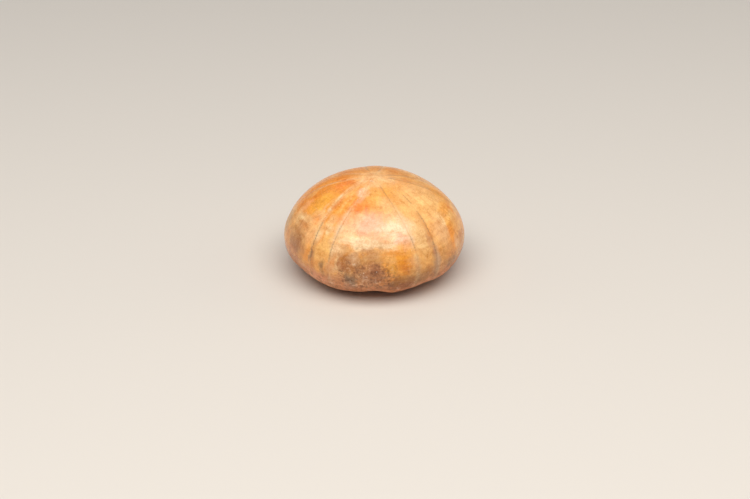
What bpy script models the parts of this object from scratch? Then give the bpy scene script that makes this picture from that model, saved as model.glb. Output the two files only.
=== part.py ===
"""Fossil sea urchin: one solid test, turned to calcite and filled with rock.

The upper face is a low dome. Ten pore lines run down it from the apex, two for each of
the five ambulacra, and turn under the rim towards the mouth. The underside is a shallow
bowl inside a ring that is worn flat, and the fossil rests on that ring.

Lengths are in millimetres until the mesh is made in metres. Azimuth is measured at the
axis from -Y, the side of the periproct, and grows towards +X. Heights in the profile are
measured from the rim, the widest level of the test.
"""

import math

import bmesh
import bpy

MM = 0.001

# Profile of the test.
RIM_RADIUS = 19.0
DOME_HEIGHT = 13.4
DOME_POWER = 1.8
SIDE_HEIGHT = 8.6
SIDE_POWER = 2.5
RING_OUTER_RADIUS = 11.1
RING_INNER_RADIUS = 8.0
BOWL_RISE = 1.7
APEX_SHIFT = (-0.17, -0.8)

# Azimuth of the middle of each ambulacrum, in degrees, in order round the test.
AMBULACRA = (-37.0, 35.5, 103.0, 180.0, 252.0)
AMBULACRUM_HALF_WIDTH = 2.4
AMBULACRUM_SPREAD = 8.5

# Pore lines, as worn grooves that fade out at both ends, with the stone between them
# swelling a little.
GROOVE_DEPTH = 0.10
GROOVE_SPREAD = 0.25
GROOVE_START_RADIUS = 0.9
GROOVE_FADE = 3.0
FIELD_SWELL = 0.08
FIELD_SHOULDER = 4.0

# Apical disc, mouth, periproct and food grooves. A hollow's side starts at a share of its
# radius and takes a share of it to reach the surface.
APEX_DISC_RADIUS = 1.8
APEX_DISC_RISE = 0.05
HOLLOW_FLOOR = 0.6
HOLLOW_SIDE = 0.5
MOUTH_RADIUS = 2.3
MOUTH_DEPTH = 1.1
PERIPROCT_RADIUS = 5.5
PERIPROCT_HALF_LENGTH = 1.9
PERIPROCT_HALF_WIDTH = 1.3
PERIPROCT_DEPTH = 0.8
FOOD_GROOVE_DEPTH = 0.25
FOOD_GROOVE_SPREAD = 0.7
FOOD_GROOVE_START_FADE = 1.5
FOOD_GROOVE_END_RADIUS = 5.0
FOOD_GROOVE_END_FADE = 2.8

# Departures from round: faintly five-sided, a ridge at each ambulacrum, and faintly oval.
FIVE_SIDED_AMOUNT = 0.06
FIVE_SIDED_AZIMUTH = 36.0
OVAL_AMOUNT = 0.05
OVAL_AZIMUTH = 32.5
ROUND_AGAIN = 8.0

# Dents and swellings: azimuth and height of the middle, spread round the test and up it,
# and how far the surface moves out.
LUMPS = (
    (0.0, -6.5, 8.0, 2.5, -0.42),
    (14.0, -6.5, 6.0, 2.5, 0.18),
    (38.0, -6.0, 9.0, 2.5, -0.36),
    (75.0, -2.0, 14.0, 4.0, -0.12),
    (103.0, 3.0, 12.0, 4.0, -0.10),
    (118.0, 6.0, 12.0, 4.0, -0.12),
    (150.0, -2.0, 18.0, 4.0, -0.14),
    (167.0, 10.0, 30.0, 4.0, 0.22),
    (215.0, 1.0, 16.0, 5.0, 0.10),
    (255.0, 5.0, 13.0, 4.0, -0.17),
    (300.0, -4.0, 11.0, 3.0, -0.30),
    (331.0, -6.5, 9.0, 2.5, 0.22),
)
LUMP_FADE = 1.5

# Rows and columns of the mesh.
DOME_ROWS = 25
SIDE_ROWS = 13
RING_ROWS = 3
BOWL_ROWS = 7
MOUTH_ROWS = 6
POLE_RADIUS = 0.6
FIELD_COLUMNS = 7
LINE_COLUMN_GAP = 0.3
NARROW_GAP_SHARE = 0.4
BOWL_ROW_BREAK = 1.2 * MOUTH_RADIUS

STONE_COLOR = (0.66, 0.33, 0.11, 1.0)
STONE_ROUGHNESS = 0.32


def remove_scene_objects():
    for obj in list(bpy.data.objects):
        bpy.data.objects.remove(obj, do_unlink=True)


def smooth_step(value):
    """0 below 0, 1 above 1, and a smooth rise between."""
    value = min(max(value, 0.0), 1.0)
    return value * value * (3.0 - 2.0 * value)


def angle_between(first, second):
    """Signed turn from the second azimuth to the first, in degrees, within half a turn."""
    return (first - second + 180.0) % 360.0 - 180.0


def superellipse_height(radius, height, power):
    inside = 1.0 - (radius / RIM_RADIUS) ** power
    return height * max(inside, 0.0) ** (1.0 / power)


RING_HEIGHT = -superellipse_height(RING_OUTER_RADIUS, SIDE_HEIGHT, SIDE_POWER)


def superellipse_point(turn, height, power):
    """Radius and height at a turn, in radians, up from the rim."""
    radius = RIM_RADIUS * math.cos(turn) ** (2.0 / power)
    return radius, height * math.sin(turn) ** (2.0 / power)


def superellipse_turn(radius, power):
    return math.acos((radius / RIM_RADIUS) ** (power / 2.0))


def bowl_height(radius):
    rise = 0.5 + 0.5 * math.cos(math.pi * radius / RING_INNER_RADIUS)
    return RING_HEIGHT + BOWL_RISE * rise


def bowl_radii():
    """Radii of the rows inside the worn ring, closer together down the side of the mouth."""
    radii = []
    for start, end, count in (
        (RING_INNER_RADIUS, BOWL_ROW_BREAK, BOWL_ROWS),
        (BOWL_ROW_BREAK, POLE_RADIUS, MOUTH_ROWS),
    ):
        radii.extend(start + (end - start) * index / count for index in range(1, count + 1))
    return radii


def profile():
    """Radius and height of each row of the mesh, from the apex round to the mouth."""
    rows = []
    top = superellipse_turn(POLE_RADIUS, DOME_POWER)
    for index in range(DOME_ROWS):
        turn = top * (1.0 - index / DOME_ROWS)
        rows.append(superellipse_point(turn, DOME_HEIGHT, DOME_POWER))
    low = superellipse_turn(RING_OUTER_RADIUS, SIDE_POWER)
    for index in range(SIDE_ROWS + 1):
        turn = low * index / SIDE_ROWS
        radius, depth = superellipse_point(turn, SIDE_HEIGHT, SIDE_POWER)
        rows.append((radius, -depth))
    for index in range(1, RING_ROWS + 1):
        share = index / RING_ROWS
        radius = RING_OUTER_RADIUS + share * (RING_INNER_RADIUS - RING_OUTER_RADIUS)
        rows.append((radius, RING_HEIGHT))
    for radius in bowl_radii():
        rows.append((radius, bowl_height(radius)))
    return rows


def row_slope(rows, index):
    """Unit outward normal of the profile at a row, as radius and height."""
    before = rows[max(index - 1, 0)]
    after = rows[min(index + 1, len(rows) - 1)]
    along_radius = after[0] - before[0]
    along_height = after[1] - before[1]
    length = math.hypot(along_radius, along_height)
    return -along_height / length, along_radius / length


def half_width(radius):
    """Half the width of an ambulacrum, in millimetres, at a distance from the axis."""
    return AMBULACRUM_HALF_WIDTH * math.tanh(radius / AMBULACRUM_SPREAD)


def column_offsets(radius):
    """Azimuths of one ambulacrum's columns, in degrees from its middle."""
    width = half_width(radius)
    gap = min(LINE_COLUMN_GAP, NARROW_GAP_SHARE * width)
    side = [0.5 * (width - gap), width - gap, width, width + gap]
    offsets = [-value for value in reversed(side)] + [0.0] + side
    return [math.degrees(value / radius) for value in offsets]


def column_azimuths(radius):
    """Azimuths of a row's points: the ambulacra and, after each, the field up to the next."""
    offsets = column_offsets(radius)
    azimuths = []
    for index, middle in enumerate(AMBULACRA):
        following = AMBULACRA[(index + 1) % len(AMBULACRA)]
        if following < middle:
            following += 360.0
        azimuths.extend(middle + offset for offset in offsets)
        start = middle + offsets[-1]
        gap = following + offsets[0] - start
        for column in range(1, FIELD_COLUMNS + 1):
            azimuths.append(start + gap * column / (FIELD_COLUMNS + 1))
    return azimuths


def line_distance(azimuth, radius):
    """Millimetres to the nearest pore line, and to the middle of the nearest ambulacrum."""
    turn = min(abs(angle_between(azimuth, middle)) for middle in AMBULACRA)
    across = math.radians(turn) * radius
    return across - half_width(radius), across


def pore_line_relief(azimuth, radius, height):
    """A groove along each pore line, and a faint swell of the fields between them."""
    from_line, across = line_distance(azimuth, radius)
    start = smooth_step((radius - GROOVE_START_RADIUS) / GROOVE_FADE)
    end = smooth_step((height - RING_HEIGHT) / GROOVE_FADE)
    groove = math.exp(-((from_line / GROOVE_SPREAD) ** 2))
    inner = max(1.0 - (across / half_width(radius)) ** 2, 0.0)
    outer = smooth_step(max(from_line, 0.0) / FIELD_SHOULDER)
    swell = FIELD_SWELL * (0.5 * inner + outer)
    return start * end * (swell - GROOVE_DEPTH * groove)


def soft_disc(reach):
    """1 inside a rounded outline, fading to 0 past it, where reach is 1 on the outline."""
    return 1.0 - smooth_step((reach - HOLLOW_FLOOR) / HOLLOW_SIDE)


def apex_relief(radius, height):
    if height < 0.0:
        return 0.0
    return APEX_DISC_RISE * soft_disc(radius / APEX_DISC_RADIUS)


def outer_relief(azimuth, height):
    """Sum of the dents and swellings, and the slight departures from round."""
    moved = 0.0
    for middle, level, spread, rise, amount in LUMPS:
        across = angle_between(azimuth, middle) / spread
        up = (height - level) / rise
        moved += amount * math.exp(-across * across - up * up)
    moved *= smooth_step((DOME_HEIGHT - height) / LUMP_FADE)
    five_sided = FIVE_SIDED_AMOUNT * math.cos(math.radians(5.0 * (azimuth - FIVE_SIDED_AZIMUTH)))
    oval = OVAL_AMOUNT * math.cos(math.radians(2.0 * (azimuth - OVAL_AZIMUTH)))
    out_of_round = smooth_step((DOME_HEIGHT - height) / ROUND_AGAIN) * (five_sided + oval)
    return smooth_step((height - RING_HEIGHT) / LUMP_FADE) * (moved + out_of_round)


def bowl_relief(azimuth, radius):
    """How far the underside rises into the mouth, the periproct and the food grooves."""
    mouth = MOUTH_DEPTH * soft_disc(radius / MOUTH_RADIUS)
    turn = math.radians(azimuth)
    along = (radius * math.cos(turn) - PERIPROCT_RADIUS) / PERIPROCT_HALF_LENGTH
    across = radius * math.sin(turn) / PERIPROCT_HALF_WIDTH
    periproct = PERIPROCT_DEPTH * soft_disc(math.hypot(along, across))
    _, from_middle = line_distance(azimuth, radius)
    start = smooth_step((radius - MOUTH_RADIUS) / FOOD_GROOVE_START_FADE)
    end = 1.0 - smooth_step((radius - FOOD_GROOVE_END_RADIUS) / FOOD_GROOVE_END_FADE)
    furrow = math.exp(-((from_middle / FOOD_GROOVE_SPREAD) ** 2))
    return mouth + periproct + FOOD_GROOVE_DEPTH * start * end * furrow


def point_on_test(rows, index, azimuth):
    """One point of the surface, in millimetres, with the rim at height 0."""
    radius, height = rows[index]
    ring_start = DOME_ROWS + SIDE_ROWS
    turn = math.radians(azimuth)
    if index > ring_start + RING_ROWS:
        height += bowl_relief(azimuth, radius)
    elif index < ring_start:
        moved = pore_line_relief(azimuth, radius, height)
        moved += apex_relief(radius, height) + outer_relief(azimuth, height)
        outward, upward = row_slope(rows, index)
        radius += outward * moved
        height += upward * moved
    lean = max(height / DOME_HEIGHT, 0.0) ** 2
    x = radius * math.sin(turn) + APEX_SHIFT[0] * lean
    y = -radius * math.cos(turn) + APEX_SHIFT[1] * lean
    return x, y, height


def test_points():
    """Every row's points, then the two poles, with the box centred over the origin."""
    rows = profile()
    points = []
    for index, (radius, _) in enumerate(rows):
        for azimuth in column_azimuths(radius):
            points.append(point_on_test(rows, index, azimuth))
    apex = DOME_HEIGHT + APEX_DISC_RISE
    points.append((APEX_SHIFT[0], APEX_SHIFT[1], apex))
    points.append((0.0, 0.0, bowl_height(0.0) + MOUTH_DEPTH))
    middle_x = 0.5 * (min(p[0] for p in points) + max(p[0] for p in points))
    middle_y = 0.5 * (min(p[1] for p in points) + max(p[1] for p in points))
    return [(x - middle_x, y - middle_y, z - RING_HEIGHT) for x, y, z in points]


def build_mesh(name):
    """A closed mesh: quads split between the rows, and a fan round each pole."""
    points = test_points()
    columns = len(column_azimuths(RIM_RADIUS))
    row_count = (len(points) - 2) // columns
    shape = bmesh.new()
    verts = [shape.verts.new([MM * value for value in point]) for point in points]
    for row in range(row_count - 1):
        for column in range(columns):
            following = (column + 1) % columns
            upper, lower = row * columns, (row + 1) * columns
            shape.faces.new((verts[upper + column], verts[lower + column], verts[upper + following]))
            shape.faces.new((verts[upper + following], verts[lower + column], verts[lower + following]))
    apex, mouth = verts[-2], verts[-1]
    last = (row_count - 1) * columns
    for column in range(columns):
        following = (column + 1) % columns
        shape.faces.new((apex, verts[column], verts[following]))
        shape.faces.new((mouth, verts[last + following], verts[last + column]))
    bmesh.ops.recalc_face_normals(shape, faces=shape.faces[:])
    mesh = bpy.data.meshes.new(name)
    shape.to_mesh(mesh)
    shape.free()
    mesh.shade_smooth()
    return mesh


def stone_material():
    material = bpy.data.materials.new("polished_fossil_stone")
    material.use_nodes = True
    surface = material.node_tree.nodes["Principled BSDF"]
    surface.inputs["Base Color"].default_value = STONE_COLOR
    surface.inputs["Roughness"].default_value = STONE_ROUGHNESS
    surface.inputs["Metallic"].default_value = 0.0
    return material


def main():
    remove_scene_objects()
    mesh = build_mesh("urchin_test")
    mesh.materials.append(stone_material())
    test = bpy.data.objects.new("urchin_test", mesh)
    bpy.context.scene.collection.objects.link(test)


main()
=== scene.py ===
import math

import bpy
import numpy as np
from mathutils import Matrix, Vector


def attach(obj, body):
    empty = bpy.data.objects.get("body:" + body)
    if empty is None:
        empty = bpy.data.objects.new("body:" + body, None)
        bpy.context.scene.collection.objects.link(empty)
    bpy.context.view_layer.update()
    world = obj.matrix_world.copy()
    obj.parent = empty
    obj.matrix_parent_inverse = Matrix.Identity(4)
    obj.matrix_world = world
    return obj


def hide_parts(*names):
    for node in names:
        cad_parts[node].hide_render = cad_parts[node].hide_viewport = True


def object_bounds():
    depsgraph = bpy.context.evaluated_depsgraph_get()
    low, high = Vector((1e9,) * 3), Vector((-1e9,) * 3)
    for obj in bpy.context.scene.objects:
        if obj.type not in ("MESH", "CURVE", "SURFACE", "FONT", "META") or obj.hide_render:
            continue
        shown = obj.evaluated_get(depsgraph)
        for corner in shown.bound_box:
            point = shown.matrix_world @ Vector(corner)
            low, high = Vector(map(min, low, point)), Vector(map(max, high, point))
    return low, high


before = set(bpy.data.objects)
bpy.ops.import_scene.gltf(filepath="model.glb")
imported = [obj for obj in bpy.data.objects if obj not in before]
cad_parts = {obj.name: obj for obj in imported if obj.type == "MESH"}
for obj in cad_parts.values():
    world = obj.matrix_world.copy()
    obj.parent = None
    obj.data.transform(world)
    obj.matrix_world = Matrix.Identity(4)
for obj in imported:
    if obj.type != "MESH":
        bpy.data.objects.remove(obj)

cad_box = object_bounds()
MM = 0.001


# ---------------------------------------------------------------------------------------
# Camera: a 100 mm lens, 44 cm from the middle of the fossil and 27 degrees above it.
# It looks a little below the fossil, which leaves more room over it than under it.
# ---------------------------------------------------------------------------------------
rim_level = 7.62 * MM
camera_height_angle = math.radians(27.0)
camera_distance = 439.2 * MM
aim_below_rim = 3.60 * MM
aim_to_right = 0.15 * MM

towards_camera = Vector((0.0, -math.cos(camera_height_angle), math.sin(camera_height_angle)))
view_up = Vector((0.0, math.sin(camera_height_angle), math.cos(camera_height_angle)))
test_middle = Vector((0.0, 0.0, rim_level))
camera_place = test_middle + towards_camera * camera_distance
aim = test_middle - view_up * aim_below_rim + Vector((aim_to_right, 0.0, 0.0))

lens = bpy.data.cameras.new("studio_camera")
lens.lens = 100.0
lens.sensor_width = 36.0
lens.clip_start = 0.01
camera = bpy.data.objects.new("studio_camera", lens)
camera.location = camera_place
camera.rotation_euler = (aim - camera_place).to_track_quat("-Z", "Y").to_euler()
bpy.context.scene.collection.objects.link(camera)
bpy.context.scene.camera = camera
bpy.context.scene.view_settings.view_transform = "Standard"


# ---------------------------------------------------------------------------------------
# Floor: a wide sheet of pale studio paper, matt.
# ---------------------------------------------------------------------------------------
floor_radius = 2.6
paper_color = "#d9d6d1"


def linear(code):
    """An sRGB hex colour as linear RGBA."""
    values = [int(code[i:i + 2], 16) / 255 for i in (1, 3, 5)]
    return [v / 12.92 if v <= 0.04045 else ((v + 0.055) / 1.055) ** 2.4 for v in values] + [1.0]


def add_node(tree, kind, inputs=None, **settings):
    """A node with its properties set and its inputs, by name or number, set or linked."""
    node = tree.nodes.new(kind)
    for name, value in settings.items():
        setattr(node, name, value)
    for key, value in (inputs or {}).items():
        if isinstance(value, bpy.types.NodeSocket):
            tree.links.new(value, node.inputs[key])
        else:
            node.inputs[key].default_value = value
    return node


floor_mesh = bpy.data.meshes.new("studio_floor")
floor_turns = np.linspace(0.0, 2.0 * math.pi, 96, endpoint=False)
floor_mesh.from_pydata(
    [(floor_radius * math.cos(t), floor_radius * math.sin(t), -0.02 * MM) for t in floor_turns],
    [],
    [list(range(len(floor_turns)))],
)
floor = bpy.data.objects.new("studio_floor", floor_mesh)
bpy.context.scene.collection.objects.link(floor)

# Matt paper board, pressed: near white, no shine.
paper = bpy.data.materials.new("matt_paper_board")
paper.use_nodes = True
tree = paper.node_tree
surface = tree.nodes["Principled BSDF"]
surface.inputs["Base Color"].default_value = linear(paper_color)
surface.inputs["Roughness"].default_value = 0.9
surface.inputs["Specular IOR Level"].default_value = 0.2
floor_mesh.materials.append(paper)


# ---------------------------------------------------------------------------------------
# Lights: one wide soft box hung over the front of the fossil, a weak one high behind it,
# a weak one low on each side that brightens the rims, and an even grey room.
# ---------------------------------------------------------------------------------------
def soft_box(name, place, aim_at, width, depth, watts, color):
    """A rectangular area light, in metres and watts, turned to a point."""
    light = bpy.data.lights.new(name, "AREA")
    light.shape = "RECTANGLE"
    light.size = width
    light.size_y = depth
    light.energy = watts
    light.color = linear(color)[:3]
    box = bpy.data.objects.new(name, light)
    box.location = place
    box.rotation_euler = (Vector(aim_at) - Vector(place)).to_track_quat("-Z", "Y").to_euler()
    bpy.context.scene.collection.objects.link(box)


soft_box("over_front", (0.0, -0.26, 0.50), (0.0, -0.26, 0.0), 0.80, 0.56, 4.6, "#fff8f0")
soft_box("behind", (0.0, 0.62, 0.55), (0.0, 0.0, 0.0), 0.90, 0.50, 0.5, "#f4f7ff")
soft_box("left", (-0.60, 0.10, 0.26), (0.0, 0.0, 0.0), 0.50, 0.35, 0.30, "#fff0d8")
soft_box("right", (0.60, 0.10, 0.26), (0.0, 0.0, 0.0), 0.50, 0.35, 0.40, "#fff0d8")

room = bpy.data.worlds.new("studio_room")
room.use_nodes = True
backdrop = room.node_tree.nodes["Background"]
backdrop.inputs["Color"].default_value = linear("#e6e6e8")
backdrop.inputs["Strength"].default_value = 0.22
bpy.context.scene.world = room


# ---------------------------------------------------------------------------------------
# Fossil test: the sea urchin's shell turned to calcite and filled with rock, one stone.
# The smooth body is a superellipse turned about the axis, with its mesh columns laid
# along the ten pore lines, so that the fine relief can follow them.
# ---------------------------------------------------------------------------------------
# profile, in millimetres: the dome over the rim, the side under it, the ring it rests on
# and the bowl inside the ring
rim_radius = 19.0
dome_height, dome_power = 13.4, 1.8
side_height, side_power = 8.6, 2.5
ring_outer, ring_inner = 11.1, 8.0
bowl_rise = 1.7
apex_shift = np.array((-0.17, -0.8))
# the middles of the five ambulacra, in degrees from the front, and their pore lines
ambulacra = (-37.0, 35.5, 103.0, 180.0, 252.0)
ambulacrum_half_width, ambulacrum_spread = 2.4, 8.5
groove_depth, groove_spread, groove_start, groove_fade = 0.025, 0.22, 0.9, 3.0
field_swell, field_shoulder = 0.08, 4.0
apex_disc_radius, apex_disc_rise = 1.8, 0.05
# the hollows of the underside: each has a flat floor and then a side, whose widths are
# shares of its own radius
hollow_floor, hollow_side = 0.6, 0.5
mouth_radius, mouth_depth = 2.3, 1.1
periproct_radius, periproct_depth = 5.5, 0.8
periproct_half_length, periproct_half_width = 1.9, 1.3
food_groove_depth, food_groove_spread = 0.25, 0.7
food_groove_end, food_groove_fades = 5.0, (1.5, 2.8)
# how the outline departs from a circle, and how near the crown and the resting ring the
# body is round again
five_sided_amount, five_sided_azimuth = 0.06, 36.0
oval_amount, oval_azimuth = 0.05, 32.5
lump_fade, round_again = 1.5, 8.0
# azimuth, height, spread round, spread up, and how far the surface moves out
lumps = (
    (0.0, -6.5, 8.0, 2.5, -0.42),
    (14.0, -6.5, 6.0, 2.5, 0.18),
    (38.0, -6.0, 9.0, 2.5, -0.36),
    (75.0, -2.0, 14.0, 4.0, -0.12),
    (103.0, 3.0, 12.0, 4.0, -0.10),
    (118.0, 6.0, 12.0, 4.0, -0.12),
    (150.0, -2.0, 18.0, 4.0, -0.14),
    (167.0, 10.0, 30.0, 4.0, 0.22),
    (215.0, 1.0, 16.0, 5.0, 0.10),
    (255.0, 5.0, 13.0, 4.0, -0.17),
    (300.0, -4.0, 11.0, 3.0, -0.30),
    (331.0, -6.5, 9.0, 2.5, 0.22),
)
# mesh: a small fan closes each pole, then rows down the dome, side, ring and bowl, and
# columns that are close together across a pore line and wider over the fields
pole_radius = 0.45
dome_rows, side_rows, ring_rows, bowl_rows = 166, 65, 8, 35
band_columns, line_columns, field_columns = 4, 9, 43
line_column_reach, line_column_share = 0.36, 0.4


def smooth_step(value):
    """Rises smoothly from 0 to 1 as the value does."""
    value = np.clip(value, 0.0, 1.0)
    return value * value * (3.0 - 2.0 * value)


def soft_disc(reach):
    """1 inside a rounded outline, fading to 0 past it, where reach is 1 on the outline."""
    return 1.0 - smooth_step((reach - hollow_floor) / hollow_side)


def angle_between(first, second):
    """The turn from the second azimuth to the first, from -180 to 180 degrees."""
    return (first - second + 180.0) % 360.0 - 180.0


def dome_radius(height):
    """Distance of the smooth surface from the axis at a height over the rim."""
    tall, power = (dome_height, dome_power) if height >= 0.0 else (side_height, side_power)
    return rim_radius * (1.0 - abs(height / tall) ** power) ** (1.0 / power)


ring_share = ring_outer / rim_radius
ring_height = -side_height * (1.0 - ring_share ** side_power) ** (1.0 / side_power)


def profile_line():
    """Radius, height and distance from the apex along the smooth profile, finely spaced."""
    top = math.acos((pole_radius / rim_radius) ** (dome_power / 2.0))
    low = math.acos(ring_share ** (side_power / 2.0))
    turn = np.linspace(top, 0.0, 3000)
    dome = np.stack((rim_radius * np.cos(turn) ** (2.0 / dome_power),
                     dome_height * np.sin(turn) ** (2.0 / dome_power)), 1)
    turn = np.linspace(0.0, low, 2000)[1:]
    side = np.stack((rim_radius * np.cos(turn) ** (2.0 / side_power),
                     -side_height * np.sin(turn) ** (2.0 / side_power)), 1)
    radius = np.linspace(ring_outer, ring_inner, 200)[1:]
    ring = np.stack((radius, np.full_like(radius, ring_height)), 1)
    radius = np.linspace(ring_inner, pole_radius, 600)[1:]
    rise = 0.5 + 0.5 * np.cos(math.pi * radius / ring_inner)
    bowl = np.stack((radius, ring_height + bowl_rise * rise), 1)
    points = np.concatenate((dome, side, ring, bowl))
    steps = np.hypot(*np.diff(points, axis=0).T)
    arc = pole_radius + np.concatenate(((0.0,), np.cumsum(steps)))
    ends = np.cumsum((len(dome), len(side), len(ring), len(bowl))) - 1
    return points[:, 0], points[:, 1], arc, arc[ends]


line_radius, line_height, line_arc, (arc_rim, arc_ring, arc_bowl, arc_end) = profile_line()
row_arcs = np.concatenate((
    np.linspace(pole_radius, arc_rim, dome_rows),
    np.linspace(arc_rim, arc_ring, side_rows + 1)[1:],
    np.linspace(arc_ring, arc_bowl, ring_rows + 1)[1:],
    np.linspace(arc_bowl, arc_end, bowl_rows + 1)[1:],
))
row_radius = np.interp(row_arcs, line_arc, line_radius)
row_height = np.interp(row_arcs, line_arc, line_height)
slope_radius = np.gradient(row_radius, row_arcs)
slope_height = np.gradient(row_height, row_arcs)
slope_length = np.hypot(slope_radius, slope_height)
row_out, row_up = -slope_height / slope_length, slope_radius / slope_length


def half_width(radius):
    """From the middle of an ambulacrum to its pore lines, which open out from the apex."""
    return ambulacrum_half_width * np.tanh(radius / ambulacrum_spread)


def column_azimuths(radius):
    """Azimuths in degrees of each row's points: five ambulacra and the fields between."""
    width = half_width(radius)[:, None]
    edge = np.minimum(line_column_reach, line_column_share * width)
    inner = (width - edge) * np.arange(1, band_columns + 1)[None] / (band_columns + 1.0)
    groove = width + edge * np.linspace(-1.0, 1.0, line_columns)[None]
    side = np.concatenate((inner, groove), 1)
    across = np.concatenate((-side[:, ::-1], np.zeros_like(width), side), 1)
    offsets = np.degrees(across / radius[:, None])
    columns = []
    for index, middle in enumerate(ambulacra):
        following = ambulacra[(index + 1) % 5]
        following += 360.0 * (following < middle)
        start = middle + offsets[:, -1:]
        gap = following + offsets[:, :1] - start
        columns.append(middle + offsets)
        columns.append(start + gap * np.arange(1, field_columns + 1)[None] / (field_columns + 1.0))
    return np.concatenate(columns, 1)


azimuth = column_azimuths(row_radius)
rows, columns = azimuth.shape
radius = np.repeat(row_radius[:, None], columns, 1)
height = np.repeat(row_height[:, None], columns, 1)
arc = np.repeat(row_arcs[:, None], columns, 1)
turns = [angle_between(azimuth, middle) for middle in ambulacra]
nearest = np.argmin(np.abs(turns), 0)
from_middle = np.take_along_axis(np.stack(turns), nearest[None], 0)[0]
across = np.radians(np.abs(from_middle)) * radius
line_offset = across - half_width(radius)

# relief of the smooth body, in millimetres along the profile's normal
fade = smooth_step((radius - groove_start) / groove_fade)
fade *= smooth_step((height - ring_height) / groove_fade)
groove = np.exp(-(line_offset / groove_spread) ** 2)
inner = np.maximum(1.0 - (across / half_width(radius)) ** 2, 0.0)
swell = field_swell * (0.5 * inner + smooth_step(np.maximum(line_offset, 0.0) / field_shoulder))
relief = fade * (swell - groove_depth * groove)
relief += apex_disc_rise * soft_disc(radius / apex_disc_radius) * (height > 0.0)
moved = np.zeros_like(relief)
for middle, level, spread, rise, amount in lumps:
    round_test = angle_between(azimuth, middle) / spread
    moved += amount * np.exp(-round_test ** 2 - ((height - level) / rise) ** 2)
moved *= smooth_step((dome_height - height) / lump_fade)
out_of_round = five_sided_amount * np.cos(np.radians(5.0 * (azimuth - five_sided_azimuth)))
out_of_round += oval_amount * np.cos(np.radians(2.0 * (azimuth - oval_azimuth)))
moved += smooth_step((dome_height - height) / round_again) * out_of_round
relief += smooth_step((height - ring_height) / lump_fade) * moved
relief[arc >= arc_ring - 1e-6] = 0.0

# the underside: mouth, periproct and food grooves, all rising into the stone
mouth = mouth_depth * soft_disc(radius / mouth_radius)
turn = np.radians(azimuth)
along = (radius * np.cos(turn) - periproct_radius) / periproct_half_length
periproct = periproct_depth * soft_disc(np.hypot(along, radius * np.sin(turn) / periproct_half_width))
furrow = food_groove_depth * np.exp(-(across / food_groove_spread) ** 2)
furrow *= smooth_step((radius - mouth_radius) / food_groove_fades[0])
furrow *= 1.0 - smooth_step((radius - food_groove_end) / food_groove_fades[1])
hollow = (mouth + periproct + furrow) * (arc > arc_bowl + 1e-6)

body_radius = radius + row_out[:, None] * relief
body_height = height + row_up[:, None] * relief + hollow
lean = np.maximum(body_height / dome_height, 0.0) ** 2
body = np.stack((
    body_radius * np.sin(turn) + apex_shift[0] * lean,
    -body_radius * np.cos(turn) + apex_shift[1] * lean,
    body_height,
), -1).reshape(-1, 3)
apex_point = (*apex_shift, dome_height + apex_disc_rise)
mouth_point = (0.0, 0.0, ring_height + bowl_rise + mouth_depth)
body = np.concatenate((body, (apex_point, mouth_point)))

grid = np.arange(rows * columns).reshape(rows, columns)
following = np.roll(grid, -1, 1)
quads = np.stack((grid[:-1], grid[1:], following[1:], following[:-1]), -1).reshape(-1, 4)
apex_fan = np.stack((np.full(columns, rows * columns), grid[0], following[0]), -1)
mouth_fan = np.stack((np.full(columns, rows * columns + 1), following[-1], grid[-1]), -1)
faces = [*quads.tolist(), *apex_fan.tolist(), *mouth_fan.tolist()]

test_mesh = bpy.data.meshes.new("fossil_test")
test_mesh.from_pydata((body * MM).tolist(), [], faces)
test = bpy.data.objects.new("fossil_test", test_mesh)
bpy.context.scene.collection.objects.link(test)


def store(name, values, at_apex, at_mouth, kind="FLOAT"):
    """Keeps a value at each point, with one for each pole."""
    layer = test_mesh.attributes.new(name, kind, "POINT")
    flat = np.concatenate((values.reshape(rows * columns, -1), [at_apex], [at_mouth]))
    field = "vector" if kind == "FLOAT_VECTOR" else "value"
    layer.data.foreach_set(field, flat.astype(np.float32).ravel())


# how far each point is round from the middle of its field, in millimetres
next_ambulacra = (*ambulacra[1:], ambulacra[0] + 360.0)
turns = [angle_between(azimuth, 0.5 * (a + b)) for a, b in zip(ambulacra, next_ambulacra)]
field_nearest = np.argmin(np.abs(turns), 0)
from_field = np.take_along_axis(np.stack(turns), field_nearest[None], 0)[0]
field_side = np.radians(from_field) * radius

# unpolished stone: one patch low at the front, and all round under the rim
patch_azimuth, patch_half_width = -4.5, 18.0
patch_level, patch_half_height = -4.0, 6.8
under_rim_amount, under_rim_start, under_rim_fade = 0.85, 0.2, 4.5
round_patch = angle_between(azimuth, patch_azimuth) / patch_half_width
up_patch = (height - patch_level) / patch_half_height
unpolished = np.exp(-round_patch ** 6 - up_patch ** 4)
under_rim = smooth_step((under_rim_start - height) / under_rim_fade)
unpolished = np.maximum(unpolished, under_rim_amount * under_rim)

# the ring that it rests on is worn flat: the fine relief fades out in the millimetre
# on either side of it
ring_middle, ring_half_width = 0.5 * (arc_ring + arc_bowl), 0.5 * (arc_bowl - arc_ring)
off_ring = smooth_step(np.abs(arc - ring_middle) - ring_half_width)

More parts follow.
